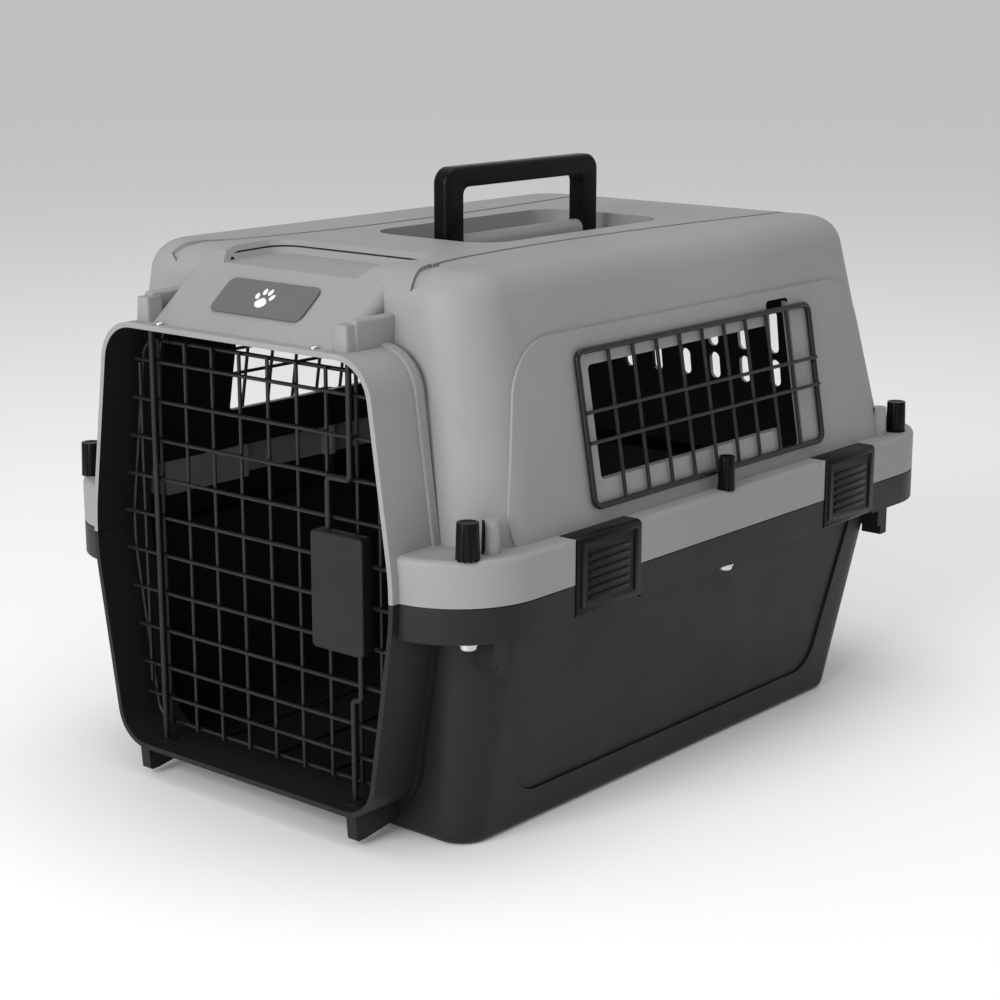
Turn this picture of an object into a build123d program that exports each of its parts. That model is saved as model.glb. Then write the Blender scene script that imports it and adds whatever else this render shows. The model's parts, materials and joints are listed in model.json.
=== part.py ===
"""Small hard-sided pet transport carrier: two moulded shells, wire door, window grilles, clips and handle.

Millimetres. +Z is up, the door faces -Y, and the origin is under the middle of the carrier on the floor.
The heights below are measured from the foot line, FLOOR_DROP above the floor. main() raises every piece by that much.
"""
import os
from math import hypot

from build123d import *

# Overall sizes
LENGTH = 481.0  # from the door lip to the back of the rim
FLOOR_DROP = 2.5
FRONT_Y = -LENGTH / 2
RIM_HALF_WIDTH = 165.7
RIM_FRONT = 4.7  # the rim starts this far behind the lip
RIM_CORNER = 51.7
RIM_LOW_Z, PARTING_Z, RIM_TOP_Z = 120.7, 140.0, 165.0
ROOF_Z = 304.5
WALL = 3.0
SEAM = 0.15  # half the gap between the two shells
CLEAR = 0.3

# Body walls: half width, front and rear (behind the lip) at three heights
BASE = (133.7, 36.0, 405.0, -FLOOR_DROP)
LOW_LEDGE = (146.1, 37.0, 448.0, RIM_LOW_Z + WALL)
HIGH_LEDGE = (152.3, 37.0, 447.0, RIM_TOP_Z - WALL)
ROOF = (127.7, 44.0, 424.0, ROOF_Z)
BODY_CORNER, BASE_CORNER = 34.0, 18.0
BASE_ROUND, ROOF_ROUND = 6.0, 20.0
PANEL_STEP, THROAT_LIP, RIM_ROUND = 1.4, 0.25, 3.6

# Door tunnel
LIP_LOW_Z, LIP_TOP_Z = 15.3, 266.0
LIP_HALF_LOW, LIP_HALF_MID, LIP_HALF_TOP = 99.8, 119.6, 101.6
LIP_LOW_ROUND, LIP_TOP_ROUND, LIP_MID_ROUND = 23.0, 25.0, 150.0
TUNNEL_DEPTH = 40.5
COLLAR_FROM, COLLAR_TO, COLLAR_GROW = 32.0, 37.0, 2.0
HOOD_HALF_WIDTH = 74.0
HOOD_TOP = 55.0  # where the hood meets the roof, behind the lip
HOOD_FRONT = 8.5
GROOVE_DEEP = 1.9

# Door
ROD_X, ROD_Y, ROD_R = 76.5, 12.9, 1.7  # hinge rod at -X, latch rods at +X
ROD_FIT = 0.06
WIRE_R, EDGE_WIRE_R = 1.1, 1.2
ROW_Y = ROD_Y + ROD_R + WIRE_R + 0.05
UPRIGHT_Y = ROW_Y + 2 * WIRE_R + 0.05
EDGE_Y = UPRIGHT_Y + WIRE_R + EDGE_WIRE_R + 0.05
EDGE_INSET = 12.5  # from the tunnel's outer face to the door's edge wire
UPRIGHTS = (11.0, 33.0, 55.0, 77.0)
LAST_UPRIGHT, LAST_UPRIGHT_SPAN = 93.0, (50.0, 239.5)
LOWEST_ROW_Z, SECOND_ROW_Z, ROW_PITCH, ROWS = 44.0, 62.0, 22.5, 10
RIVET_X = 60.0
SOCKET_TOP_Z, SOCKET_LOW_Z = 277.0, 14.0
ROD_TOP_Z, ROD_LOW_Z = 262.6, 19.5  # latch rod tips, drawn in
LATCH_X = (52.0, 90.0)
LATCH_Z = (103.6, 168.6)
LATCH_FRONT, LATCH_BACK, LATCH_WALL = 6.6, 14.5, 1.6
UPPER_GRIP_X, LOWER_GRIP_X = 60.0, 82.5
UPPER_CRANK_Z, LOWER_CRANK_Z = 197.0, 77.0
UPPER_STOP_Z, LOWER_STOP_Z, STOP_THICK = 135.0, 126.0, 2.0  # ribs that the springs push on
UPPER_COLLAR_Z, LOWER_COLLAR_Z, COLLAR_THICK = 147.2, 114.8, 2.5
SPRING_R, SPRING_WIRE_R, SPRING_TURNS = 2.15, 0.35, 6

# Handle and its recess
HANDLE_FROM, HANDLE_TO, HANDLE_TOP_Z = 169.5, 314.0, 344.0
HANDLE_THICK, HANDLE_BAR, HANDLE_LEG = 11.5, 12.0, 15.0
PIVOT_Z = 298.0
PIT_FROM, PIT_TO, PIT_HALF_WIDTH, PIT_FLOOR_Z, PIT_CORNER = 157.0, 331.0, 48.5, 290.2, 22.0
PIVOT_R, PIN_IN_LEG, PIN_IN_RIDGE = 2.5, 9.0, 16.0
RIDGE_R = 5.6

# Rim closures
CLIP_SPANS = ((90.5, 147.5), (336.5, 393.5))
CLIP_BACK_X, CLIP_FACE_X, CLIP_TIP_X = 161.7, 166.3, 154.2
CLIP_PIVOT = (163.9, 123.6)
CLIP_BARREL_R, CLIP_PIN_R = 2.3, 1.0
NOTCH_X, NOTCH_FLOOR_Z = 161.3, 161.3
BOLTS = {"front": (147.5, 24.5), "middle": (161.0, 236.0), "rear": (153.5, 440.5)}
BOLT_R, BOLT_HEAD_R, BOLT_TOP_Z = 2.5, 4.6, 178.0
BOSS_R, WASHER_R, WASHER_THICK = 5.2, 5.5, 0.8
NUT_R = {"front": 6.4, "middle": 5.1, "rear": 6.4}
NUT_TAPER, NUT_TOP_Z = 1.8, 184.5
GUIDES = ((148.5, 41.5), (150.5, 424.0))  # alignment posts beside the end bolts

FOOT_X, FOOT_WIDTH = 83.5, 7.0  # feet under the door lip

VENT_TIERS = ((183.0, 201.5), (206.0, 236.0))
VENT_PITCH, VENT_WIDTH, VENTS = 24.5, 8.0, 6

# Side windows: spans along the body (behind the lip) and heights
WINDOW = (133.0, 333.0, 187.0, 249.0)
TALL_SLOT = (309.0, 333.0, 173.0, 263.0)
GRILLE = (122.5, 351.5, 173.2, 257.4)
FIRST_BAR, BAR_PITCH, BARS = 150.0, 22.1, 9
GRILLE_RAILS = (208.0, 224.5)
GRILLE_CORNER, PRONG_R = 5.0, 1.2
GRILLE_FRAME_R, GRILLE_BAR_R, GRILLE_LEVEL = 1.7, 1.1, 2.0  # level: the wires' middles off the wall

MIRROR = Plane.YZ


def at(depth):
    """The y of a place given as its distance behind the door lip."""
    return FRONT_Y + depth


def grown(section, by, z=None):
    half, front, rear, height = section
    return (half + by, front - by, rear + by, height if z is None else z)


def between(low, high, z):
    """The body's section at height z, in line between two sections."""
    share = (z - low[3]) / (high[3] - low[3])
    return tuple(a + share * (b - a) for a, b in zip(low[:3], high[:3])) + (z,)


def lofted_body(low, high, corners, end, radius):
    """A tapered body between two rounded rectangles, with one end's edges rounded."""
    with BuildPart() as body:
        for (half, front, rear, z), corner in zip((low, high), corners):
            with BuildSketch(Plane.XY.offset(z)):
                with Locations((0, at((front + rear) / 2))):
                    RectangleRounded(2 * half, rear - front, corner)
        loft()
        if radius:
            fillet(body.edges().group_by(Axis.Z)[end], radius)
    return body.part


def lower_body(by=0.0, top=LOW_LEDGE[3]):
    low, high = grown(BASE, by, BASE[3] - by), grown(between(BASE, LOW_LEDGE, top), by)
    return lofted_body(low, high, (BASE_CORNER + by, BODY_CORNER + by), 0, BASE_ROUND + by)


def upper_body(by=0.0, bottom=HIGH_LEDGE[3]):
    low, high = grown(between(HIGH_LEDGE, ROOF, bottom), by), grown(ROOF, by, ROOF_Z + by)
    return lofted_body(low, high, (BODY_CORNER + by,) * 2, -1, ROOF_ROUND + by)


def rim_block(low, high, by=0.0, top_round=0.0):
    with BuildPart() as rim:
        with BuildSketch(Plane.XY.offset(low)):
            with Locations((0, at((RIM_FRONT + LENGTH) / 2))):
                RectangleRounded(2 * (RIM_HALF_WIDTH + by), LENGTH - RIM_FRONT + 2 * by, RIM_CORNER + by)
        extrude(amount=high - low)
        if top_round:
            fillet(rim.edges().group_by(Axis.Z)[-1], top_round)
    return rim.part


def throat(low, high, z):
    """A short cut through a rim ledge, just inside the inner faces of the body's walls."""
    ends = [grown(between(low, high, z + step), -WALL - THROAT_LIP) for step in (-4, 4)]
    return lofted_body(*ends, (BODY_CORNER - WALL,) * 2, 0, 0)


def tunnel_outline(by, depth):
    """The door tunnel's outline, grown by a distance, as a face at one depth."""
    right = [(LIP_HALF_LOW, LIP_LOW_Z), (LIP_HALF_MID, PARTING_Z), (LIP_HALF_TOP, LIP_TOP_Z)]
    left = [(-x, z) for x, z in reversed(right)]
    with BuildSketch(Plane.XZ.offset(-at(depth))) as outline:
        with BuildLine():
            Polyline(*right, *left, close=True)
        make_face()
        fillet(outline.vertices().sort_by(Axis.Y)[2:4], LIP_MID_ROUND)
        fillet(outline.vertices().sort_by(Axis.Y)[:2], LIP_LOW_ROUND)
        fillet(outline.vertices().sort_by(Axis.Y)[-2:], LIP_TOP_ROUND)
        if by:
            offset(amount=by)
    return outline.sketch


def tunnel_block(by, start, end, low=-50.0, high=400.0):
    """The door tunnel's outline run between two depths and two heights."""
    with BuildPart() as tunnel:
        extrude(tunnel_outline(by, start).face(), amount=end - start, dir=(0, 1, 0))
        with Locations((0, 0, (low + high) / 2)):
            Box(600, 1200, high - low, mode=Mode.INTERSECT)
    return tunnel.part


def side_prism(outline, radius):
    """A prism across one side of the carrier, from an outline of (depth, height) points."""
    with BuildPart() as prism:
        with BuildSketch(Plane.YZ.offset(60)) as face:
            with BuildLine():
                Polyline(*[(at(depth), z) for depth, z in outline], close=True)
            make_face()
            fillet(face.vertices(), radius)
        extrude(amount=140)
    return prism.part


def rim_pads(low, high, inner_x):
    """Solid stretches of rim behind the clips."""
    with BuildPart() as pads:
        for start, end in CLIP_SPANS:
            with Locations(((inner_x + RIM_HALF_WIDTH) / 2, at((start + end) / 2), (low + high) / 2)):
                Box(RIM_HALF_WIDTH - inner_x, end - start + 12, high - low)
        mirror(about=MIRROR)
    return pads.part


def clip_notches(low, high, inner_x, gap=0.6):
    with BuildPart() as notches:
        for start, end in CLIP_SPANS:
            with Locations(((inner_x + 180) / 2, at((start + end) / 2), (low + high) / 2)):
                Box(180 - inner_x, end - start + 2 * gap, high - low)
        mirror(about=MIRROR)
    return notches.part


def posts(places, radius, low, high, taper=0.0):
    """Upright round posts at (x, depth) places on both sides."""
    with BuildPart() as made:
        with BuildSketch(Plane.XY.offset(low)):
            with Locations(*[(side * x, at(depth)) for x, depth in places for side in (1, -1)]):
                Circle(radius)
        extrude(amount=high - low, taper=taper)
    return made.part


def rod_sockets(radius, low, high):
    with BuildPart() as sockets:
        with BuildSketch(Plane.XY.offset(low)):
            with Locations((ROD_X, at(ROD_Y)), (-ROD_X, at(ROD_Y))):
                Circle(radius)
        extrude(amount=high - low)
    return sockets.part


def make_lower_shell():
    panel_outline = [(62, 150), (75, 17.5), (372, 17.5), (414, 150)]
    with BuildPart() as panel:
        add(side_prism(panel_outline, 22))
        add(lower_body(-PANEL_STEP), mode=Mode.SUBTRACT)
    with BuildPart() as feet:
        for side in (1, -1):
            with BuildSketch(Plane.YZ.offset(side * FOOT_X - FOOT_WIDTH / 2)):
                with BuildLine():
                    Polyline((at(1.5), 20), (at(3), 1.5), (at(9), 1.5), (at(38), 6), (at(38), 20), close=True)
                make_face()
            extrude(amount=FOOT_WIDTH)
        fillet(feet.edges().filter_by(Axis.X).group_by(Axis.Z)[0], 1.5)
    with BuildPart() as lugs:
        for x, depth in GUIDES:
            with Locations((x - 3, at(depth + 3), RIM_LOW_Z - 7)):
                Box(14, 11, 18)
            with Locations((x - 3, at(depth + 5), RIM_LOW_Z - 17)):
                Box(14, 7, 10)
        mirror(about=MIRROR)
    with BuildPart() as shell:
        add(lower_body())
        add(panel.part, mode=Mode.SUBTRACT)
        add(panel.part.mirror(MIRROR), mode=Mode.SUBTRACT)
        add(lugs.part)
        add(rim_block(RIM_LOW_Z, PARTING_Z - SEAM))
        fillet(shell.edges().group_by(Axis.Z)[-1], 0.8)
        add(tunnel_block(0, 0.0, TUNNEL_DEPTH, high=PARTING_Z - SEAM))
        add(tunnel_block(COLLAR_GROW, COLLAR_FROM, COLLAR_TO, high=RIM_LOW_Z + 1))
        add(lower_body(-WALL), mode=Mode.SUBTRACT)
        add(throat(BASE, LOW_LEDGE, RIM_LOW_Z + WALL), mode=Mode.SUBTRACT)
        add(rim_block(RIM_LOW_Z + WALL, PARTING_Z + 1, -WALL), mode=Mode.SUBTRACT)
        add(rim_pads(RIM_LOW_Z, PARTING_Z - SEAM, 157.0))
        with BuildPart(mode=Mode.PRIVATE) as bosses:
            add(posts(BOLTS.values(), BOSS_R, RIM_LOW_Z + 1, PARTING_Z - SEAM))
            add(rim_block(RIM_LOW_Z + 1, PARTING_Z - SEAM, -0.1), mode=Mode.INTERSECT)
        add(bosses.part)
        add(tunnel_block(0, 0.0, TUNNEL_DEPTH, high=PARTING_Z - SEAM))
        add(feet.part)
        add(tunnel_block(-WALL, -1.0, TUNNEL_DEPTH + 5, high=PARTING_Z + 1), mode=Mode.SUBTRACT)
        add(clip_notches(RIM_LOW_Z - 2, PARTING_Z + 1, NOTCH_X), mode=Mode.SUBTRACT)
        add(rod_sockets(5.2, LIP_LOW_Z, LIP_LOW_Z + WALL + 0.8))
        add(rod_sockets(ROD_R + ROD_FIT, SOCKET_LOW_Z, LIP_LOW_Z + 20), mode=Mode.SUBTRACT)
        add(posts(BOLTS.values(), BOLT_R + 0.1, RIM_LOW_Z - 1, PARTING_Z + 1), mode=Mode.SUBTRACT)
        for start, end in CLIP_SPANS:
            for side in (1, -1):
                place = Location((side * CLIP_PIVOT[0], at((start + end) / 2), CLIP_PIVOT[1]), (90, 0, 0))
                with Locations(place):
                    Cylinder(CLIP_PIN_R + 0.01, end - start + 10, mode=Mode.SUBTRACT)
        with Locations(*[(x, at(220), BASE[3] + WALL + 0.6) for x in (-90, -45, 0, 45, 90)]):
            Box(5, 300, 2.4)
    shell.part.label = "lower_shell"
    return shell.part


def hood_block(by, top_z, rear):
    """The slanted hood over the door. A negative value makes its inside."""
    slope = (ROOF_Z - LIP_TOP_Z) / (HOOD_TOP - HOOD_FRONT)
    drop = -by * hypot(1, slope)
    base_z = LIP_TOP_Z + 1.3 * by - 2
    start = HOOD_FRONT + (base_z - LIP_TOP_Z + drop) / slope
    end = HOOD_FRONT + (top_z - LIP_TOP_Z + drop) / slope
    half = HOOD_HALF_WIDTH + by
    with BuildPart() as hood:
        with BuildSketch(Plane.YZ.offset(-half)):
            with BuildLine():
                Polyline((at(start), base_z), (at(end), top_z), (at(rear), top_z), (at(rear), base_z), close=True)
            make_face()
        extrude(amount=2 * half)
        slanted = hood.faces().sort_by(Axis.Y)[0]
        fillet(slanted.edges().filter_by(Axis.X, reverse=True), 7 + by)
    return hood.part


def roof_groove(side):
    """A waisted groove that runs back along the roof, wider at its front end."""
    route = [(93, 52), (82, 74), (74, 112), (69.5, 165), (68.5, 215), (70, 265), (75, 330), (83, 408)]
    with BuildPart() as groove:
        with BuildSketch(Plane.XY.offset(ROOF_Z - 16)):
            with BuildLine() as line:
                Spline(*[(side * x, at(depth)) for x, depth in route])
            trace(line.line, 3.6)
            with BuildLine() as hook:
                Line((side * 94, at(47)), (side * 82, at(76)))
            trace(hook.line, 8)
        extrude(amount=30)
        add(upper_body(-GROOVE_DEEP), mode=Mode.SUBTRACT)
    return groove.part


def scoop_block(by, start, floor_z, top_z):
    """The shallow trough at the front of the roof."""
    with BuildPart() as scoop:
        with BuildSketch(Plane.XY.offset(floor_z)) as outline:
            with BuildLine():
                Polyline(
                    (-50 - by, at(start)), (50 + by, at(start)),
                    (58 + by, at(98 + by)), (-58 - by, at(98 + by)), close=True,
                )
            make_face()
            fillet(outline.vertices().group_by(Axis.Y)[-1], 10)
        extrude(amount=top_z - floor_z, taper=-35)
    return scoop.part


def pit_block(by, low, high):
    with BuildPart() as pit:
        with BuildSketch(Plane.XY.offset(low)):
            with Locations((0, at((PIT_FROM + PIT_TO) / 2))):
                RectangleRounded(2 * (PIT_HALF_WIDTH + by), PIT_TO - PIT_FROM + 2 * by, PIT_CORNER + by)
        extrude(amount=high - low)
    return pit.part


def make_upper_shell():
    panel_outline = [(49, 140), (75, 268.5), (406, 268.5), (432, 140)]
    with BuildPart() as panel:
        add(side_prism(panel_outline, 36))
        add(upper_body(PANEL_STEP), mode=Mode.INTERSECT)
    windows = [
        side_prism([(s, lo), (e, lo), (e, hi), (s, hi)], 3) for s, e, lo, hi in (WINDOW, TALL_SLOT)
    ]
    with BuildPart() as vents:
        for low, high in VENT_TIERS:
            with BuildSketch(Plane.XZ.offset(-at(400))):
                with Locations(*[((i - (VENTS - 1) / 2) * VENT_PITCH, (low + high) / 2) for i in range(VENTS)]):
                    SlotOverall(high - low, VENT_WIDTH, rotation=90)
            extrude(amount=-80)
    with BuildPart() as lugs:
        for side in (1, -1):
            with BuildSketch(Plane.XY.offset(LIP_TOP_Z - 2)):
                with Locations((side * ROD_X, at(ROD_Y))):
                    RectangleRounded(10.5, 13, 2.5)
            extrude(amount=SOCKET_TOP_Z + 2.5 - LIP_TOP_Z + 2, taper=3)
            with BuildPart(mode=Mode.PRIVATE) as block:
                with Locations((side * (ROD_X + 2), at(30), LIP_TOP_Z + 7)):
                    Box(7, 34, 18)
                fillet(block.edges(), 2.2)
            add(block.part)
    with BuildPart() as ridge:
        start, end = HANDLE_FROM + HANDLE_LEG + 0.6, HANDLE_TO - HANDLE_LEG - 0.6
        with Locations(Location((0, at((start + end) / 2), PIVOT_Z), (90, 0, 0))):
            Cylinder(RIDGE_R, end - start)
        with Locations((0, at((start + end) / 2), PIVOT_Z - 5)):
            Box(2 * RIDGE_R, end - start, 10)
        for start, end in pin_spans(PIN_IN_LEG + 1):
            add(round_bar((0, start, PIVOT_Z), (0, end, PIVOT_Z), PIVOT_R + 0.01), mode=Mode.SUBTRACT)
    with BuildPart() as shell:
        add(upper_body())
        add(panel.part)
        add(panel.part.mirror(MIRROR))
        add(hood_block(0, ROOF_Z - 1.5, 66))
        add(upper_body(-WALL), mode=Mode.SUBTRACT)
        add(pit_block(WALL, PIT_FLOOR_Z - WALL, ROOF_Z - 1))
        add(scoop_block(WALL, HOOD_TOP + 4, ROOF_Z - 10.5, ROOF_Z - 4))
        add(scoop_block(0, HOOD_TOP - 6, ROOF_Z - 10.5, ROOF_Z - 7))
        add(rim_block(PARTING_Z + SEAM, RIM_TOP_Z, 0, RIM_ROUND))
        add(tunnel_block(0, 0.0, TUNNEL_DEPTH, low=PARTING_Z + SEAM))
        add(tunnel_block(COLLAR_GROW, COLLAR_FROM, COLLAR_TO, low=RIM_TOP_Z - 1))
        add(throat(HIGH_LEDGE, ROOF, HIGH_LEDGE[3]), mode=Mode.SUBTRACT)
        add(rim_block(PARTING_Z - 1, RIM_TOP_Z - WALL, -WALL), mode=Mode.SUBTRACT)
        add(rim_pads(PARTING_Z + SEAM, RIM_TOP_Z, 151.0))
        with BuildPart(mode=Mode.PRIVATE) as bosses:
            add(posts(BOLTS.values(), BOSS_R, PARTING_Z + SEAM, RIM_TOP_Z - 0.2))
            add(rim_block(PARTING_Z + SEAM, RIM_TOP_Z - 0.2, -0.1, RIM_ROUND), mode=Mode.INTERSECT)
        add(bosses.part)
        add(posts(GUIDES, 5.2, RIM_TOP_Z - 2, 183, taper=2))
        add(tunnel_block(0, 0.0, TUNNEL_DEPTH, low=PARTING_Z + SEAM))
        add(lugs.part)
        add(tunnel_block(-WALL, -1.0, TUNNEL_DEPTH + 5, low=PARTING_Z - 1), mode=Mode.SUBTRACT)
        add(hood_block(-WALL, ROOF_Z - 11, 60), mode=Mode.SUBTRACT)
        add(scoop_block(0, HOOD_TOP - 19, ROOF_Z - 7.5, ROOF_Z + 6), mode=Mode.SUBTRACT)
        add(pit_block(0, PIT_FLOOR_Z, ROOF_Z + 5), mode=Mode.SUBTRACT)
        add(ridge.part)
        for window in windows:
            add(window, mode=Mode.SUBTRACT)
            add(window.mirror(MIRROR), mode=Mode.SUBTRACT)
        add(vents.part, mode=Mode.SUBTRACT)
        prong_holes = grille_prongs(PRONG_R + 0.1, -9, 4)
        add(prong_holes, mode=Mode.SUBTRACT)
        add(prong_holes.mirror(MIRROR), mode=Mode.SUBTRACT)
        for side in (1, -1):
            add(roof_groove(side), mode=Mode.SUBTRACT)
        add(clip_notches(PARTING_Z - 1, RIM_TOP_Z + 5, NOTCH_X), mode=Mode.SUBTRACT)
        add(clip_notches(NOTCH_FLOOR_Z, RIM_TOP_Z + 2, CLIP_TIP_X - 0.7), mode=Mode.SUBTRACT)
        add(rod_sockets(ROD_R + ROD_FIT, LIP_TOP_Z - 10, SOCKET_TOP_Z), mode=Mode.SUBTRACT)
        add(posts(BOLTS.values(), BOLT_R + 0.1, PARTING_Z - 1, RIM_TOP_Z + 1), mode=Mode.SUBTRACT)
    shell.part.label = "upper_shell"
    return shell.part


def door_half_width(z):
    """Half the door's width at height z, to the middle of its edge wire."""
    end_half, end_z = (LIP_HALF_LOW, LIP_LOW_Z) if z < PARTING_Z else (LIP_HALF_TOP, LIP_TOP_Z)
    share = (z - PARTING_Z) / (end_z - PARTING_Z)
    return LIP_HALF_MID + share * (end_half - LIP_HALF_MID) - EDGE_INSET


def round_bar(start, end, radius):
    """A straight round bar between two points."""
    start, end = Vector(*start), Vector(*end)
    with BuildPart() as bar:
        with BuildSketch(Plane(origin=start, z_dir=end - start)):
            Circle(radius)
        extrude(amount=(end - start).length)
    return bar.part


def bars(name, ends, radius):
    """Straight bars as separate solids of one node."""
    with BuildPart() as made:
        for start, end in ends:
            add(round_bar(start, end, radius))
    made.part.label = name
    return made.part


def make_door_wires():
    rows = [LOWEST_ROW_Z] + [SECOND_ROW_Z + i * ROW_PITCH for i in range(ROWS - 1)]
    across = [[(side * (door_half_width(z) + 1), at(ROW_Y), z) for side in (-1, 1)] for z in rows]
    ends = (LIP_LOW_Z + EDGE_INSET - 1, LIP_TOP_Z - EDGE_INSET + 1)
    up = [[(side * x, at(UPRIGHT_Y), z) for z in ends] for x in UPRIGHTS for side in (-1, 1)]
    up += [[(side * LAST_UPRIGHT, at(UPRIGHT_Y), z) for z in LAST_UPRIGHT_SPAN] for side in (-1, 1)]
    with BuildPart() as edge:
        route = tunnel_outline(-EDGE_INSET, EDGE_Y).face().outer_wire()
        with BuildSketch(Plane(origin=route @ 0, z_dir=route % 0)):
            Circle(EDGE_WIRE_R)
        sweep(path=route)
    edge.part.label = "door_edge_wire"
    rod = bars("door_hinge_rod", [[(-ROD_X, at(ROD_Y), z) for z in (SOCKET_LOW_Z + 1.5, SOCKET_TOP_Z - 1)]], ROD_R)
    return [bars("door_cross_wires", across, WIRE_R), bars("door_upright_wires", up, WIRE_R), edge.part, rod]


def latch_rod(name, grip_x, inner_z, crank_z, tip_z, collar_z):
    """A cranked wire rod: from inside the latch housing, across the finger crank and out to the socket."""
    with BuildPart() as rod:
        with BuildLine() as route:
            FilletPolyline(
                (grip_x, at(ROD_Y), inner_z), (grip_x, at(ROD_Y), crank_z),
                (ROD_X, at(ROD_Y), crank_z), (ROD_X, at(ROD_Y), tip_z),
                radius=2.9,
            )
        with BuildSketch(Plane(origin=route.line @ 0, z_dir=route.line % 0)):
            Circle(ROD_R)
        sweep()
        with Locations((grip_x, at(ROD_Y - 0.5), collar_z)):
            Box(5.4, 4.2, COLLAR_THICK)
    rod.part.label = name
    return rod.part


def coil_spring(name, x, low, high):
    with BuildPart() as spring:
        with BuildLine(Plane.XY.offset(low + SPRING_WIRE_R)) as route:
            height = high - low - 2 * SPRING_WIRE_R
            Helix(pitch=height / SPRING_TURNS, height=height, radius=SPRING_R)
        with BuildSketch(Plane(origin=route.line @ 0, z_dir=route.line % 0)):
            Circle(SPRING_WIRE_R)
        sweep(is_frenet=True)
    placed = spring.part.moved(Location((x, at(ROD_Y), 0)))
    placed.label = name
    return placed


def make_latch():
    width, height, deep = LATCH_X[1] - LATCH_X[0], LATCH_Z[1] - LATCH_Z[0], LATCH_BACK - LATCH_FRONT
    middle = ((LATCH_X[0] + LATCH_X[1]) / 2, at((LATCH_FRONT + LATCH_BACK) / 2), (LATCH_Z[0] + LATCH_Z[1]) / 2)
    with BuildPart() as housing:
        with Locations(middle):
            Box(width, deep, height)
        fillet(housing.edges().filter_by(Axis.Y), 3)
        fillet(housing.faces().sort_by(Axis.Y)[0].edges(), 1.2)
        with Locations((middle[0], middle[1] + LATCH_WALL, middle[2])):
            Box(width - 2 * LATCH_WALL, deep, height - 2 * LATCH_WALL, mode=Mode.SUBTRACT)
        for z in (UPPER_STOP_Z, LOWER_STOP_Z):
            with Locations((middle[0], middle[1], z)):
                Box(width - 1, deep, STOP_THICK)
        slots = ((UPPER_GRIP_X, LATCH_Z[1] - 4, LATCH_Z[1] + 1), (LOWER_GRIP_X, LATCH_Z[0] - 1, LATCH_Z[0] + 4))
        for x, *ends in slots:
            add(round_bar((x, at(ROD_Y), ends[0]), (x, at(ROD_Y), ends[1]), ROD_R + ROD_FIT), mode=Mode.SUBTRACT)
            with Locations((x, at(ROD_Y + 5), sum(ends) / 2)):
                Box(2 * (ROD_R + ROD_FIT), 10, ends[1] - ends[0], mode=Mode.SUBTRACT)
    housing.part.label = "latch_housing"
    upper_inner, lower_inner = UPPER_STOP_Z + STOP_THICK / 2, LOWER_STOP_Z - STOP_THICK / 2
    half_collar = COLLAR_THICK / 2
    return [
        housing.part,
        latch_rod("upper_latch_rod", UPPER_GRIP_X, upper_inner + 0.5, UPPER_CRANK_Z, ROD_TOP_Z, UPPER_COLLAR_Z),
        latch_rod("lower_latch_rod", LOWER_GRIP_X, lower_inner - 0.5, LOWER_CRANK_Z, ROD_LOW_Z, LOWER_COLLAR_Z),
        coil_spring("upper_latch_spring", UPPER_GRIP_X, upper_inner + 0.1, UPPER_COLLAR_Z - half_collar - 0.1),
        coil_spring("lower_latch_spring", LOWER_GRIP_X, LOWER_COLLAR_Z + half_collar + 0.1, lower_inner - 0.1),
    ]


def make_handle():
    middle, top = at((HANDLE_FROM + HANDLE_TO) / 2), HANDLE_TOP_Z
    length, foot = HANDLE_TO - HANDLE_FROM, PIVOT_Z - HANDLE_THICK / 2
    with BuildPart() as handle:
        with BuildSketch(Plane.YZ.offset(-HANDLE_THICK / 2)) as outline:
            with Locations((middle, (foot + top) / 2)):
                Rectangle(length, top - foot)
            fillet(outline.vertices().sort_by(Axis.Y)[-2:], 10)
            with BuildSketch(mode=Mode.SUBTRACT) as gap:
                with Locations((middle, (foot + top - HANDLE_BAR) / 2 - 10)):
                    Rectangle(length - 2 * HANDLE_LEG, top - HANDLE_BAR - foot + 20)
                fillet(gap.vertices().sort_by(Axis.Y)[-2:], 5)
        extrude(amount=HANDLE_THICK)
        feet = handle.edges().filter_by(Axis.Y).group_by(Axis.Z)[0]
        fillet(feet, HANDLE_THICK / 2 - 0.1)
        bar = [e for e in handle.faces().sort_by(Axis.Z)[-1].edges().filter_by(Axis.Y)]
        fillet(bar, 3)
        for start, end in pin_spans(PIN_IN_LEG + 1):
            add(round_bar((0, start, PIVOT_Z), (0, end, PIVOT_Z), PIVOT_R + 0.05), mode=Mode.SUBTRACT)
    handle.part.label = "carry_handle"
    pins = [[(0, start, PIVOT_Z), (0, end, PIVOT_Z)] for start, end in pin_spans(PIN_IN_LEG)]
    return [handle.part, bars("handle_pins", pins, PIVOT_R)]


def pin_spans(into_leg):
    """The handle pins' spans in y: each runs from the roof ridge into one leg."""
    front, rear = at(HANDLE_FROM + HANDLE_LEG), at(HANDLE_TO - HANDLE_LEG)
    return [(front - into_leg, front + PIN_IN_RIDGE), (rear - PIN_IN_RIDGE, rear + into_leg)]


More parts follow.
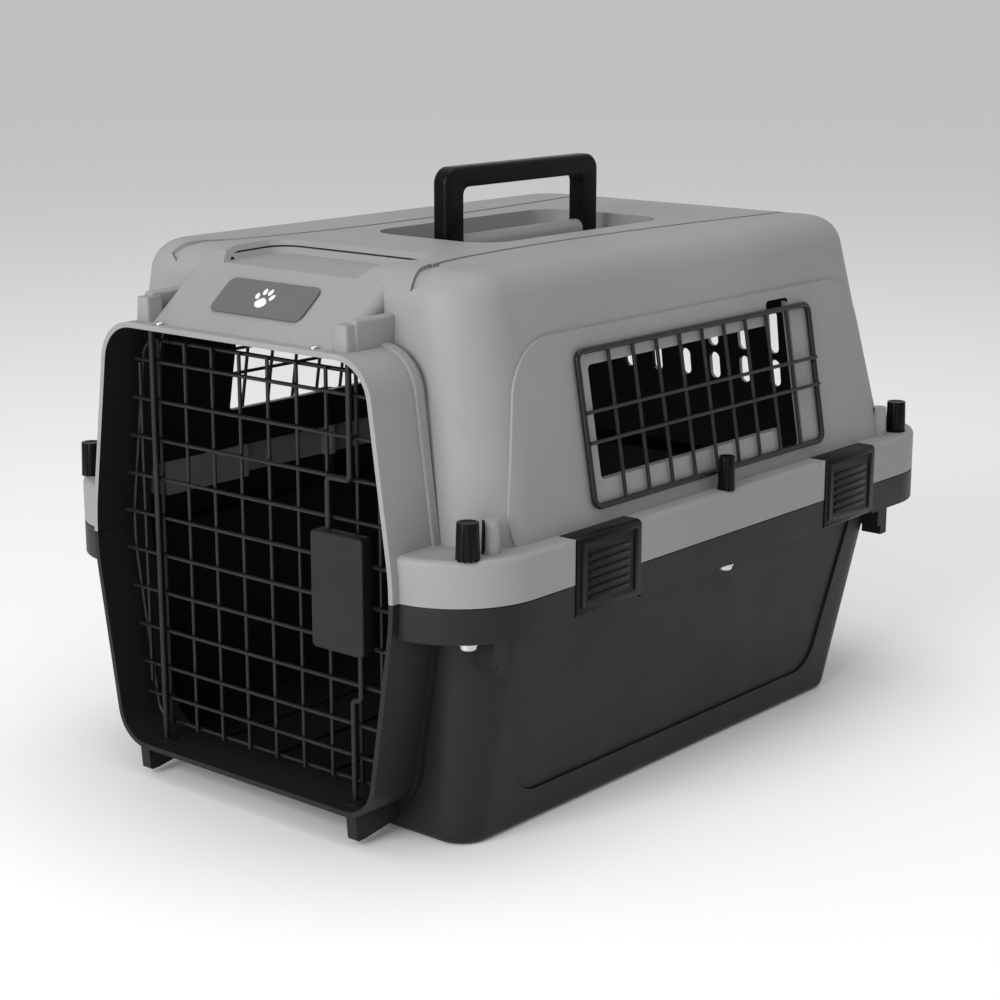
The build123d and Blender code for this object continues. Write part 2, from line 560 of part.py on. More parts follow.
def make_clip(name, side, span):
    """A rim clip: hinged under the lower rim, hooked over the upper rim."""
    start, end = span
    middle, wide = at((start + end) / 2), end - start
    pivot_x, pivot_z = CLIP_PIVOT
    with BuildPart() as clip:
        with BuildSketch(Plane.XZ.offset(-middle + wide / 2)) as profile:
            with BuildLine():
                Polyline(
                    (CLIP_BACK_X, pivot_z), (CLIP_BACK_X, NOTCH_FLOOR_Z + CLEAR), (CLIP_TIP_X, NOTCH_FLOOR_Z + CLEAR),
                    (CLIP_TIP_X, RIM_TOP_Z), (CLIP_FACE_X, RIM_TOP_Z), (CLIP_FACE_X, pivot_z), close=True,
                )
            make_face()
            outer = outline_corner(profile, CLIP_FACE_X, RIM_TOP_Z)
            fillet(outer, 3.5)
            with Locations((pivot_x, pivot_z)):
                Circle(CLIP_BARREL_R)
        extrude(amount=-wide)
        for row in range(6):
            with Locations((CLIP_FACE_X, middle, 131 + 4.6 * row)):
                Box(1.4, wide - 22, 2.2)
        for edge in (-1, 1):
            with Locations((CLIP_FACE_X, middle + edge * (wide / 2 - 5), 143.5)):
                Box(1.4, 3, 34)
        add(round_bar((pivot_x, middle - wide, pivot_z), (pivot_x, middle + wide, pivot_z), CLIP_PIN_R + 0.06),
            mode=Mode.SUBTRACT)
    made = clip.part if side > 0 else clip.part.mirror(MIRROR)
    made.label = name
    return made


def outline_corner(sketch, x, z):
    return sketch.vertices().sort_by_distance((x, z, 0))[0]


def make_clips():
    made, pins = [], []
    for where, span in zip(("front", "rear"), CLIP_SPANS):
        for which, side in (("right", 1), ("left", -1)):
            made.append(make_clip(f"clip_{where}_{which}", side, span))
            x, z = side * CLIP_PIVOT[0], CLIP_PIVOT[1]
            pins.append([(x, at(span[0] - 4.4), z), (x, at(span[1] + 4.4), z)])
    return made + [bars("clip_pins", pins, CLIP_PIN_R)]


def make_fasteners():
    """Six bolts up through the rim, with washers and one hand nut each."""
    made = []
    washer_top = RIM_LOW_Z - 0.05
    head_top = washer_top - WASHER_THICK - 0.05
    places = [(side * x, at(depth)) for x, depth in BOLTS.values() for side in (1, -1)]
    with BuildPart() as bolts:
        with BuildSketch(Plane.XY.offset(head_top - 3)):
            with Locations(*places):
                Circle(BOLT_HEAD_R)
        extrude(amount=3)
        fillet(bolts.edges().group_by(Axis.Z)[0], 1.4)
        with BuildSketch(Plane.XY.offset(head_top - 0.5)):
            with Locations(*places):
                Circle(BOLT_R)
        extrude(amount=BOLT_TOP_Z - head_top + 0.5)
        with BuildSketch(Plane.XY.offset(head_top - 3)):
            for turn in (0, 90):
                with Locations(*places):
                    Rectangle(4.6, 1.1, rotation=turn)
        extrude(amount=1.4, mode=Mode.SUBTRACT)
    bolts.part.label = "rim_bolts"
    with BuildPart() as washers:
        with BuildSketch(Plane.XY.offset(washer_top - WASHER_THICK)):
            with Locations(*places):
                Circle(WASHER_R)
                Circle(BOLT_R + 0.1, mode=Mode.SUBTRACT)
        extrude(amount=WASHER_THICK)
    washers.part.label = "rim_washers"
    for where, (x, depth) in BOLTS.items():
        for which, side in (("right", 1), ("left", -1)):
            with BuildPart() as nut:
                with BuildSketch(Plane.XY.offset(RIM_TOP_Z + 0.1)):
                    Circle(NUT_R[where])
                extrude(amount=NUT_TOP_Z - RIM_TOP_Z - 0.1, taper=NUT_TAPER)
                fillet(nut.faces().sort_by(Axis.Z)[-1].edges(), 1.2)
                with BuildSketch(Plane.XY.offset(RIM_TOP_Z)):
                    Circle(BOLT_R + 0.06)
                extrude(amount=BOLT_TOP_Z + 0.6 - RIM_TOP_Z, mode=Mode.SUBTRACT)
            placed = nut.part.moved(Location((side * x, at(depth), 0)))
            placed.label = f"nut_{where}_{which}"
            made.append(placed)
    return [bolts.part, washers.part] + made


def wall_plane():
    """On the right window panel's face: local x runs back along the body and local y up the wall."""
    middle_z = (GRILLE[2] + GRILLE[3]) / 2
    lean = (HIGH_LEDGE[0] - ROOF[0]) / (ROOF[3] - HIGH_LEDGE[3])
    face = between(HIGH_LEDGE, ROOF, middle_z)[0] + PANEL_STEP * hypot(1, lean)
    origin = (face, at((GRILLE[0] + GRILLE[1]) / 2), middle_z)
    return Plane(origin=origin, x_dir=(0, 1, 0), z_dir=(1, 0, lean))


def grille_prongs(radius, low, high):
    half_long, half_high = (GRILLE[1] - GRILLE[0]) / 2, (GRILLE[3] - GRILLE[2]) / 2
    with BuildPart() as prongs:
        with BuildSketch(wall_plane().offset(low)):
            with GridLocations(2 * half_long - 60, 2 * half_high, 2, 2):
                Circle(radius)
        extrude(amount=high - low)
    return prongs.part


def make_grilles():
    plane = wall_plane()
    middle_y, middle_z = (GRILLE[0] + GRILLE[1]) / 2, (GRILLE[2] + GRILLE[3]) / 2
    half_long, half_high = (GRILLE[1] - GRILLE[0]) / 2, (GRILLE[3] - GRILLE[2]) / 2
    rail_level = GRILLE_LEVEL + 2 * GRILLE_BAR_R - 0.2

    def place(depth, z, level):
        return plane.from_local_coords((depth - middle_y, z - middle_z, level))

    with BuildPart() as grille:
        with BuildSketch(plane.offset(GRILLE_LEVEL)) as outline:
            RectangleRounded(2 * half_long, 2 * half_high, GRILLE_CORNER)
        route = outline.sketch.face().outer_wire()
        with BuildPart(mode=Mode.PRIVATE) as frame:
            with BuildSketch(Plane(origin=route @ 0, z_dir=route % 0)):
                Circle(GRILLE_FRAME_R)
            sweep(path=route)
        add(frame.part)
        for depth in [FIRST_BAR + i * BAR_PITCH for i in range(BARS)]:
            ends = [place(depth, z, GRILLE_LEVEL) for z in GRILLE[2:]]
            add(round_bar(*ends, GRILLE_BAR_R))
        for z in GRILLE_RAILS:
            add(round_bar(place(GRILLE[0], z, rail_level), place(GRILLE[1], z, rail_level), GRILLE_BAR_R))
    right = grille.part
    left = right.mirror(MIRROR)
    right.label, left.label = "right_window_grille", "left_window_grille"
    prongs = grille_prongs(PRONG_R, -4.5, GRILLE_LEVEL - GRILLE_FRAME_R - 0.05)
    pins = Compound(label="grille_pins", children=[*prongs.solids(), *prongs.mirror(MIRROR).solids()])
    return [right, left, pins]


def make_badge():
    slope = (ROOF_Z - LIP_TOP_Z) / (HOOD_TOP - HOOD_FRONT)
    depth = 28.5
    origin = (0, at(depth), LIP_TOP_Z + slope * (depth - HOOD_FRONT))
    with BuildPart() as badge:
        with BuildSketch(Plane(origin=origin, x_dir=(1, 0, 0), z_dir=(0, -slope, 1)).offset(0.25)):
            RectangleRounded(70, 25, 5)
        extrude(amount=1.2)
        fillet(badge.faces().sort_by(Axis.Z)[-1].edges(), 0.5)
    badge.part.label = "badge_plate"
    return badge.part


def make_rivets():
    """Two small domed rivets on top of the lip."""
    with BuildPart() as rivets:
        with BuildSketch(Plane.XY.offset(LIP_TOP_Z + 0.03)):
            with Locations((RIVET_X, at(5)), (-RIVET_X, at(5))):
                Circle(2.4)
        extrude(amount=1.6)
        fillet(rivets.edges().group_by(Axis.Z)[-1], 1.1)
    rivets.part.label = "lip_rivets"
    return rivets.part


def main():
    os.makedirs("parts", exist_ok=True)
    pieces = [make_lower_shell(), make_upper_shell(), make_badge(), make_rivets()]
    pieces += make_door_wires() + make_latch() + make_handle() + make_clips() + make_fasteners() + make_grilles()
    for piece in pieces:
        raised = piece.moved(Location((0, 0, FLOOR_DROP)))
        raised.label = piece.label
        export_step(raised, f"parts/{piece.label}.step")


if __name__ == "__main__":
    main()
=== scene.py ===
"""Pet carrier, finished looks: moulded shells, wire door, grilles, latch, handle, clips, knobs and badge."""

import json
from math import cos, radians, sin

import bmesh
import bpy
from mathutils import Matrix, Vector


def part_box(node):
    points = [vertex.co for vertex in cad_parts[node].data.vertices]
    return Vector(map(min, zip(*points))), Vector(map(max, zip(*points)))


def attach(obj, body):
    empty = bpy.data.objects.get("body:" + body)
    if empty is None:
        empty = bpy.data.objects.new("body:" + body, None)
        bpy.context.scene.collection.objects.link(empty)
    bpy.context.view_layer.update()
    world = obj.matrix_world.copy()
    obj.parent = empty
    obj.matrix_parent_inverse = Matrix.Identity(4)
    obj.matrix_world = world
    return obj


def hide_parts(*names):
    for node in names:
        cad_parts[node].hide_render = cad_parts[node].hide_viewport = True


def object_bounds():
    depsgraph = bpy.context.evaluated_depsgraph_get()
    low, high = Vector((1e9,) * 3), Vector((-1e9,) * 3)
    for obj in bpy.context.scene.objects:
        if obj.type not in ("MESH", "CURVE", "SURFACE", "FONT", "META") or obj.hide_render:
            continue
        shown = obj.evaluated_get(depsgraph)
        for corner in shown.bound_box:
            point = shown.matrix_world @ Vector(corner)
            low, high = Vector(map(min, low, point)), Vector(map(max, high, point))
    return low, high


bl_info = {
    "name": "Pet Carrier",
    "version": (1, 0, 0),
    "blender": (4, 5, 0),
    "location": "View3D > Sidebar > Carrier",
    "description": "Finishes a small two-shell pet carrier with a wire door",
    "category": "Object",
}

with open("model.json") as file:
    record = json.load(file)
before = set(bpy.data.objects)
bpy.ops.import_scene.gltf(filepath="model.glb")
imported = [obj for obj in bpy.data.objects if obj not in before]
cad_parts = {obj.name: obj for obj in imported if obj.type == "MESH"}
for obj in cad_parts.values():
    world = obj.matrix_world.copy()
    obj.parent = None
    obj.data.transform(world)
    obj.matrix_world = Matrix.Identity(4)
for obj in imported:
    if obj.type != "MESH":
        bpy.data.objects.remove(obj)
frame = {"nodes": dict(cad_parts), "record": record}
CAD_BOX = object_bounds()
BODIES = frame["record"]["behaviour"]["bodies"]
BODY_OF = {node: body for body, nodes in BODIES.items() for node in nodes}
CLIPS = sorted(node for node in BODY_OF if node.startswith("clip_") and node != "clip_pins")
NUTS = sorted(node for node in BODY_OF if node.startswith("nut_"))
MM = 0.001
KNOB_TAPER = 0.6 * MM
PAW_THICK = 0.35 * MM
BADGE_EDGE = 0.25 * MM
CABIN_MIDDLE_Z = 0.15
HOOD_REAR_Y, HOOD_OUTSIDE_Z, ROOF_OUTSIDE_Z = -0.15, 0.267, 0.288  # above these a shell is seen from outside
CABIN_HALF_WIDTH, LIP_DEPTH = 0.15, 0.004
RIM_LOW_Z, COLLAR_REAR_Y, COLLAR_HALF_WIDTH = 0.1432, -0.205, 0.108
LOOK_AT = Vector((0, 0, 0.15))
SOFTBOXES = {"key": (1.4, (0.1, -2.2, 1.0)), "fill": (1.2, (1.5, -1.3, 0.6)), "top": (1.6, (0.2, 0.2, 2.0))}


class CarrierSizes(bpy.types.PropertyGroup):
    """Sizes of the small details that the finish adds."""

    edge: bpy.props.FloatProperty(
        name="Soft edge", description="Width of the rounding on small moulded parts",
        default=0.7 * MM, min=0.0, subtype="DISTANCE", unit="LENGTH")
    grip_edge: bpy.props.FloatProperty(
        name="Handle edge", description="Width of the rounding on the carry handle",
        default=2.2 * MM, min=0.0, subtype="DISTANCE", unit="LENGTH")
    weld: bpy.props.FloatProperty(
        name="Weld size", description="Radius of the weld beads where wires cross",
        default=1.3 * MM, min=0.0, subtype="DISTANCE", unit="LENGTH")
    flutes: bpy.props.IntProperty(
        name="Knob flutes", description="Grooves around each rim knob", default=12, min=3, max=40)
    flute_depth: bpy.props.FloatProperty(
        name="Flute depth", description="Depth of the grooves around each rim knob",
        default=0.45 * MM, min=0.0, subtype="DISTANCE", unit="LENGTH")
    paw: bpy.props.FloatProperty(
        name="Paw print", description="Height of the paw print on the badge",
        default=15 * MM, min=0.0, subtype="DISTANCE", unit="LENGTH")


class CarrierColours(bpy.types.PropertyGroup):
    """Base colours, in linear light."""

    upper: bpy.props.FloatVectorProperty(
        name="Upper shell", description="Grey of the upper moulding",
        default=(0.25, 0.25, 0.246), size=3, min=0, max=1, subtype="COLOR")
    # Painted shade: near black stands for the shade inside the grey upper shell's cabin and door tunnel;
    # inside the lower shell it matches that shell's own charcoal
    lining: bpy.props.FloatVectorProperty(
        name="Lining", description="Dark inside of both shells",
        default=(0.011, 0.011, 0.011), size=3, min=0, max=1, subtype="COLOR")
    lower: bpy.props.FloatVectorProperty(
        name="Lower shell", description="Charcoal of the lower moulding",
        default=(0.0115, 0.0115, 0.012), size=3, min=0, max=1, subtype="COLOR")
    trim: bpy.props.FloatVectorProperty(
        name="Trim", description="Black of the handle, clips and knobs",
        default=(0.0028, 0.0028, 0.003), size=3, min=0, max=1, subtype="COLOR")
    latch: bpy.props.FloatVectorProperty(
        name="Latch", description="Dark grey of the latch plate",
        default=(0.0095, 0.0102, 0.0102), size=3, min=0, max=1, subtype="COLOR")
    wire: bpy.props.FloatVectorProperty(
        name="Wire", description="Dipped coat of the door and grille wires",
        default=(0.009, 0.009, 0.009), size=3, min=0, max=1, subtype="COLOR")
    badge: bpy.props.FloatVectorProperty(
        name="Badge", description="Plate of the badge",
        default=(0.1, 0.1, 0.1), size=3, min=0, max=1, subtype="COLOR")
    steel: bpy.props.FloatVectorProperty(
        name="Steel", description="Bolts, washers, rivets and springs",
        default=(0.62, 0.62, 0.61), size=3, min=0, max=1, subtype="COLOR")


class CarrierStage(bpy.types.PropertyGroup):
    """Camera, floor and light."""

    eye: bpy.props.FloatVectorProperty(
        name="Camera place", description="Where the camera stands",
        default=(0.8385, -1.0086, 0.4573), size=3, subtype="TRANSLATION", unit="LENGTH")
    turn: bpy.props.FloatProperty(
        name="Camera turn", description="Camera angle round from the front",
        default=radians(40.19), subtype="ANGLE", unit="ROTATION")
    rise: bpy.props.FloatProperty(
        name="Camera rise", description="Camera angle above level",
        default=radians(13.83), subtype="ANGLE", unit="ROTATION")
    lens: bpy.props.FloatProperty(
        name="Lens", description="Focal length", default=77.306, min=1, unit="CAMERA")
    key: bpy.props.FloatProperty(
        name="Key light", description="Power of the main softbox", default=40.0, min=0, unit="POWER")
    fill: bpy.props.FloatProperty(
        name="Fill light", description="Power of the side softbox", default=2.0, min=0, unit="POWER")
    top: bpy.props.FloatProperty(
        name="Top light", description="Power of the overhead softbox", default=14.0, min=0, unit="POWER")
    sky: bpy.props.FloatProperty(
        name="Surround", description="Strength of the white surround", default=0.56, min=0)


# Small tools

def only(*objects):
    """Select these objects and nothing else."""
    if bpy.context.object and bpy.context.object.mode != "OBJECT":
        bpy.ops.object.mode_set(mode="OBJECT")
    bpy.ops.object.select_all(action="DESELECT")
    for item in objects:
        item.select_set(True)
    bpy.context.view_layer.objects.active = objects[0]


def edit(piece, mode="VERT"):
    """Open a piece in edit mode with nothing selected."""
    only(piece)
    bpy.ops.object.mode_set(mode="EDIT")
    bpy.ops.mesh.select_mode(type=mode)
    bpy.ops.mesh.select_all(action="DESELECT")


def leave():
    bpy.ops.object.mode_set(mode="OBJECT")


def pick_faces(piece, wanted):
    """In edit mode, select the faces that pass a test."""
    mesh = bmesh.from_edit_mesh(piece.data)
    for face in mesh.faces:
        face.select_set(wanted(face))
    bmesh.update_edit_mesh(piece.data)


def centred(node):
    """A CAD node's middle and size."""
    low, high = (Vector(corner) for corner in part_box(node))
    return (low + high) / 2, high - low


def settle(piece, name, body, material, angle=35):
    """Name a finished piece, put its place in its mesh, shade it and hang it on its body."""
    only(piece)
    bpy.ops.object.transform_apply(location=True, rotation=True, scale=True)
    bpy.ops.object.shade_smooth_by_angle(angle=radians(angle))
    piece.name = name
    piece.data.name = name
    if material:
        piece.data.materials.clear()
        piece.data.materials.append(material)
    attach(piece, body)
    return piece


def apply_modifier(piece, kind, **values):
    """Add a modifier, set it up and apply it."""
    only(piece)
    modifier = piece.modifiers.new(kind.title(), kind)
    for key, value in values.items():
        setattr(modifier, key, value)
    bpy.ops.object.modifier_apply(modifier=modifier.name)


def merged_copy(node, name):
    """A copy of a CAD node with its loose triangles joined into flat faces."""
    source = frame["nodes"][node]
    piece = bpy.data.objects.new(name, source.data.copy())
    bpy.context.collection.objects.link(piece)
    edit(piece)
    bpy.ops.mesh.select_all(action="SELECT")
    bpy.ops.mesh.remove_doubles(threshold=1e-6)
    leave()
    if piece.data.has_custom_normals:
        bpy.ops.mesh.customdata_custom_splitnormals_clear()
    return piece


def softened(node, name, width, material, limit=40, segments=3):
    """Stand in for a CAD node with a copy whose edges are rounded."""
    piece = merged_copy(node, name)
    edit(piece)
    bpy.ops.mesh.select_all(action="SELECT")
    bpy.ops.mesh.dissolve_limited(angle_limit=radians(1))
    leave()
    apply_modifier(
        piece, "BEVEL", width=width, segments=segments, limit_method="ANGLE",
        angle_limit=radians(limit), use_clamp_overlap=True, harden_normals=False)
    settle(piece, name, BODY_OF[node], material)
    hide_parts(node)
    return piece


def paint(node, material):
    """Give a CAD node its finish."""
    owner = frame["nodes"][node]
    if not owner.material_slots:
        owner.data.materials.append(material)
    for slot in owner.material_slots:
        slot.material = material


def copies(piece, places):
    """Copies of a small piece moved to each place, joined into one."""
    made = []
    for place in places:
        twin = bpy.data.objects.new(piece.name, piece.data.copy())
        bpy.context.collection.objects.link(twin)
        twin.location = place
        made.append(twin)
    only(*made)
    bpy.ops.object.join()
    joined = bpy.context.object
    bpy.data.objects.remove(piece)
    return joined


def levels(node, axis, gap=2.5 * MM):
    """Middles of a node's parallel wires along one axis."""
    values = sorted({round(v.co[axis], 5) for v in frame["nodes"][node].data.vertices})
    runs, start = [], values[0]
    for low, high in zip(values, values[1:]):
        if high - low > gap:
            runs.append((start + low) / 2)
            start = high
    runs.append((start + values[-1]) / 2)
    return runs


# Materials

def new_material(name, colour, roughness, metallic=0.0):
    material = bpy.data.materials.new(name)
    material.use_nodes = True
    shader = material.node_tree.nodes["Principled BSDF"]
    shader.inputs["Base Color"].default_value = (*colour, 1)
    shader.inputs["Roughness"].default_value = roughness
    shader.inputs["Metallic"].default_value = metallic
    return material


class Nodes:
    """Builds a material's node tree a step at a time."""

    def __init__(self, material):
        self.tree = material.node_tree
        self.shader = self.tree.nodes["Principled BSDF"]
        self.place = self.tree.nodes.new("ShaderNodeTexCoord").outputs["Object"]

    def node(self, kind, **values):
        made = self.tree.nodes.new("ShaderNode" + kind)
        for key, value in values.items():
            if key in made.inputs:
                made.inputs[key].default_value = value
            else:
                setattr(made, key, value)
        return made

    def link(self, source, target):
        self.tree.links.new(source, target)

    def noise(self, scale, detail=2.0, rough=0.5, stretch=(1, 1, 1)):
        """Noise over the object's own coordinates, between 0 and 1."""
        mapping = self.node("Mapping")
        mapping.inputs["Scale"].default_value = stretch
        self.link(self.place, mapping.inputs["Vector"])
        texture = self.node("TexNoise", Scale=scale, Detail=detail, Roughness=rough)
        self.link(mapping.outputs["Vector"], texture.inputs["Vector"])
        return texture.outputs["Fac"]

    def spread(self, value, low, high, at_low=0.3, at_high=0.7):
        """Map a value's middle range onto low to high."""
        ranged = self.node("MapRange")
        self.link(value, ranged.inputs["Value"])
        for key, amount in (("From Min", at_low), ("From Max", at_high), ("To Min", low), ("To Max", high)):
            ranged.inputs[key].default_value = amount
        return ranged.outputs["Result"]

    def times(self, first, second):
        product = self.node("Math", operation="MULTIPLY")
        self.link(first, product.inputs[0])
        self.link(second, product.inputs[1])
        return product.outputs[0]

    def tint(self, colour, factor):
        """The base colour made lighter or darker by a factor."""
        mix = self.node("Mix", data_type="RGBA", blend_type="MULTIPLY")
        mix.inputs[0].default_value = 1.0
        mix.inputs[6].default_value = (*colour, 1)
        self.link(factor, mix.inputs[7])
        self.link(mix.outputs[2], self.shader.inputs["Base Color"])

    def bump(self, height, distance, strength=1.0, after=None):
        bump = self.node("Bump", Distance=distance, Strength=strength)
        self.link(height, bump.inputs["Height"])
        if after:
            self.link(after, bump.inputs["Normal"])
        self.link(bump.outputs["Normal"], self.shader.inputs["Normal"])
        return bump.outputs["Normal"]


def moulded(name, colour, roughness, grain=0.00005, pitch=1500, scuff=0.0, gloss=0.4):
    """Injection-moulded plastic: fine spark texture, faint flow shading and handling marks."""
    material = new_material(name, colour, roughness)
    material.node_tree.nodes["Principled BSDF"].inputs["Specular IOR Level"].default_value = gloss
    nodes = Nodes(material)
    cloud = nodes.spread(nodes.noise(9, 3), 0.94, 1.05)
    speck = nodes.spread(nodes.noise(2600, 1), 0.95, 1.05)
    nodes.tint(colour, nodes.times(cloud, speck))
    haze = nodes.spread(nodes.noise(26, 4, 0.6), roughness - 0.05, roughness + 0.06)
    nodes.link(haze, nodes.shader.inputs["Roughness"])
    fine = nodes.bump(nodes.noise(pitch, 2, 0.6), grain)
    if scuff:
        marks = nodes.spread(nodes.noise(60, 6, 0.75, (1, 6, 1)), 1, 0, 0.28, 0.34)
        nodes.bump(marks, scuff, 0.4, fine)
    return material


def dipped(name, colour):
    """Wire with a thin dipped coat: a slow ripple, a few drips and a soft gloss."""
    material = new_material(name, colour, 0.32)
    material.node_tree.nodes["Principled BSDF"].inputs["Specular IOR Level"].default_value = 0.3
    nodes = Nodes(material)
    nodes.tint(colour, nodes.spread(nodes.noise(55, 3), 0.8, 1.3))
    nodes.link(nodes.spread(nodes.noise(240, 3), 0.24, 0.42), nodes.shader.inputs["Roughness"])
    ripple = nodes.bump(nodes.noise(420, 3, 0.55), 0.00018)
    nodes.bump(nodes.noise(95, 2), 0.0004, 0.5, ripple)
    return material


def plated(name, colour, roughness=0.28):
    """Zinc-plated steel with fine drawn lines."""
    material = new_material(name, colour, roughness, 1.0)
    nodes = Nodes(material)
    nodes.tint(colour, nodes.spread(nodes.noise(90, 4), 0.82, 1.08))
    drawn = nodes.noise(900, 2, 0.5, (1, 1, 0.08))
    nodes.link(nodes.spread(drawn, roughness - 0.08, roughness + 0.12), nodes.shader.inputs["Roughness"])
    nodes.bump(drawn, 0.00003)
    return material


MATERIALS = {}


def make_materials(colours):
    """All the finishes, made once."""
    if MATERIALS:
        return MATERIALS
    MATERIALS.update(
        upper=moulded("upper_grey_moulding", colours.upper, 0.52, 0.00006, 1300, 0.00002),
        # Near-black inside finish: painted shade in the upper shell, the lower shell's own charcoal in the
        # lower one
        lining=moulded("shell_lining", colours.lining, 0.62, 0.00004, 900, gloss=0.12),
        lower=moulded("lower_charcoal_moulding", colours.lower, 0.46, 0.00007, 1200, 0.00002, 0.22),
        trim=moulded("black_trim_moulding", colours.trim, 0.3, 0.00003, 1700, gloss=0.12),
        latch=moulded("latch_plate_moulding", colours.latch, 0.5, 0.0001, 900, 0.00003, 0.25),
        badge=moulded("badge_plate_moulding", colours.badge, 0.42, 0.00004, 1500),
        emblem=moulded("badge_emblem_print", (0.72, 0.72, 0.71), 0.4, 0.00003, 1500),
        wire=dipped("dipped_wire_coat", colours.wire),
        steel=plated("zinc_plated_steel", colours.steel),
        spring=plated("bright_spring_steel", colours.steel, 0.2),
    )
    return MATERIALS


# Pieces

def faces_inside(centre, normal):
    """Whether a face of a shell looks into the cabin or the door tunnel."""
    reach = Vector((centre.x, 0, centre.z - CABIN_MIDDLE_Z))
    outside_z = HOOD_OUTSIDE_Z if centre.y < HOOD_REAR_Y else ROOF_OUTSIDE_Z
    on_roof = centre.z > outside_z and normal.z > -0.25
    looks_in = reach.normalized().dot(normal) < -0.05
    near_an_end = abs(centre.y) > abs(HOOD_REAR_Y)
    ends_in = near_an_end and centre.y * normal.y < 0 and abs(normal.y) > 0.5
    within = abs(centre.x) < CABIN_HALF_WIDTH and centre.y > CAD_BOX[0][1] + LIP_DEPTH
    return within and (looks_in or ends_in) and not on_roof


class CARRIER_OT_shells(bpy.types.Operator):
    """Finish the two moulded shells with near-black insides: painted shade inside the grey upper shell, and
    the lower shell's own charcoal inside it
    """

    bl_idname = "carrier.shells"
    bl_label = "Shells"

    def execute(self, context):
        finish = make_materials(context.scene.carrier_colours)
        for node, outside in (("upper_shell", finish["upper"]), ("lower_shell", finish["lower"])):
            piece = merged_copy(node, node + "_moulding")
            settle(piece, node + "_moulding", BODY_OF[node], outside, 28)
            # Faces looking into the cabin or door tunnel get the near-black inside finish: painted shade on
            # the grey upper shell, own charcoal on the lower shell
            piece.data.materials.append(finish["lining"])
            for face in piece.data.polygons:
                face.material_index = int(faces_inside(face.center, face.normal))
            if node == "lower_shell":
                self.finish_rim(piece, finish["trim"])
            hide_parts(node)
        return {"FINISHED"}

    def finish_rim(self, piece, smooth):
        """The lower shell's rim band is smoother and darker than its walls."""
        piece.data.materials.append(smooth)
        for face in piece.data.polygons:
            beside_collar = face.center.y > COLLAR_REAR_Y or abs(face.center.x) > COLLAR_HALF_WIDTH
            if face.material_index == 0 and face.center.z > RIM_LOW_Z and beside_collar:
                face.material_index = 2


def weld_bead(radius):
    """One small squashed blob of weld."""
    bpy.ops.mesh.primitive_ico_sphere_add(subdivisions=2, radius=radius, location=(0, 0, 0))
    bead = bpy.context.object
    edit(bead)
    bpy.ops.mesh.select_all(action="SELECT")
    bpy.ops.transform.resize(value=(1.25, 0.8, 1.05))
    leave()
    return bead


def wires_meet(x, z):
    """Whether an upright and a row of the door, at this x and z, reach each other."""
    near = 2 * MM
    uprights = [v.co.z for v in frame["nodes"]["door_upright_wires"].data.vertices if abs(v.co.x - x) < near]
    row = [v.co.x for v in frame["nodes"]["door_cross_wires"].data.vertices if abs(v.co.z - z) < near]
    return min(uprights) - near < z < max(uprights) + near and min(row) - near < x < max(row) + near


class CARRIER_OT_door(bpy.types.Operator):
    """Finish the door's wires and add the weld beads where they cross"""

    bl_idname = "carrier.door"
    bl_label = "Wire door"

    def execute(self, context):
        wire = make_materials(context.scene.carrier_colours)["wire"]
        for node in ("door_cross_wires", "door_upright_wires", "door_edge_wire", "door_hinge_rod"):
            paint(node, wire)
        weld = context.scene.carrier_sizes.weld
        rows, columns = levels("door_cross_wires", 2), levels("door_upright_wires", 0)
        between = (centred("door_cross_wires")[0].y + centred("door_upright_wires")[0].y) / 2
        places = [(x, between, z) for x in columns for z in rows if wires_meet(x, z)]
        beads = copies(weld_bead(weld), places)
        settle(beads, "door_weld_beads", "door", wire, 80)
        return {"FINISHED"}


class CARRIER_OT_latch(bpy.types.Operator):
    """Finish the latch plate, its two cranked rods and their springs"""

    bl_idname = "carrier.latch"
    bl_label = "Door latch"

    def execute(self, context):
        finish = make_materials(context.scene.carrier_colours)
        softened("latch_housing", "latch_plate", context.scene.carrier_sizes.edge, finish["latch"])
        for node in ("upper_latch_rod", "lower_latch_rod"):
            paint(node, finish["wire"])
        for node in ("upper_latch_spring", "lower_latch_spring"):
            paint(node, finish["spring"])
        return {"FINISHED"}


class CARRIER_OT_handle(bpy.types.Operator):
    """Round the carry handle"""

    bl_idname = "carrier.handle"
    bl_label = "Carry handle"

    def execute(self, context):
        finish = make_materials(context.scene.carrier_colours)
        softened("carry_handle", "carry_handle_grip", context.scene.carrier_sizes.grip_edge, finish["trim"])
        paint("handle_pins", finish["trim"])
        return {"FINISHED"}


class CARRIER_OT_clips(bpy.types.Operator):
    """Round the ribbed rim clips"""

    bl_idname = "carrier.clips"
    bl_label = "Rim clips"

    def execute(self, context):
        finish = make_materials(context.scene.carrier_colours)
        for node in CLIPS:
            softened(node, node + "_lever", context.scene.carrier_sizes.edge / 2, finish["trim"], segments=2)
        paint("clip_pins", finish["steel"])
        return {"FINISHED"}


def fluted_knob(node, flutes, depth):
    """A tapered hand knob with grooves down its side."""
    middle, size = centred(node)
    foot = size.x / 2
    bpy.ops.mesh.primitive_cone_add(
        vertices=3 * flutes, radius1=foot, radius2=foot - KNOB_TAPER, depth=size.z, location=middle)
    knob = bpy.context.object
    only(knob)
    bpy.ops.object.transform_apply(location=True, rotation=False, scale=False)
    edit(knob, "FACE")
    sides = iter(range(3 * flutes))
    pick_faces(knob, lambda face: abs(face.normal.z) < 0.5 and next(sides) % 3 == 0)
    bpy.ops.mesh.inset(thickness=0.25 * MM, depth=-depth)
    pick_faces(knob, lambda face: face.normal.z > 0.5)
    bpy.ops.mesh.inset(thickness=0.9 * MM, depth=0.0)
    bpy.ops.mesh.inset(thickness=1.2 * MM, depth=-0.5 * MM)
    leave()
    apply_modifier(knob, "BEVEL", width=0.3 * MM, segments=2, limit_method="ANGLE", angle_limit=radians(40))
    return knob


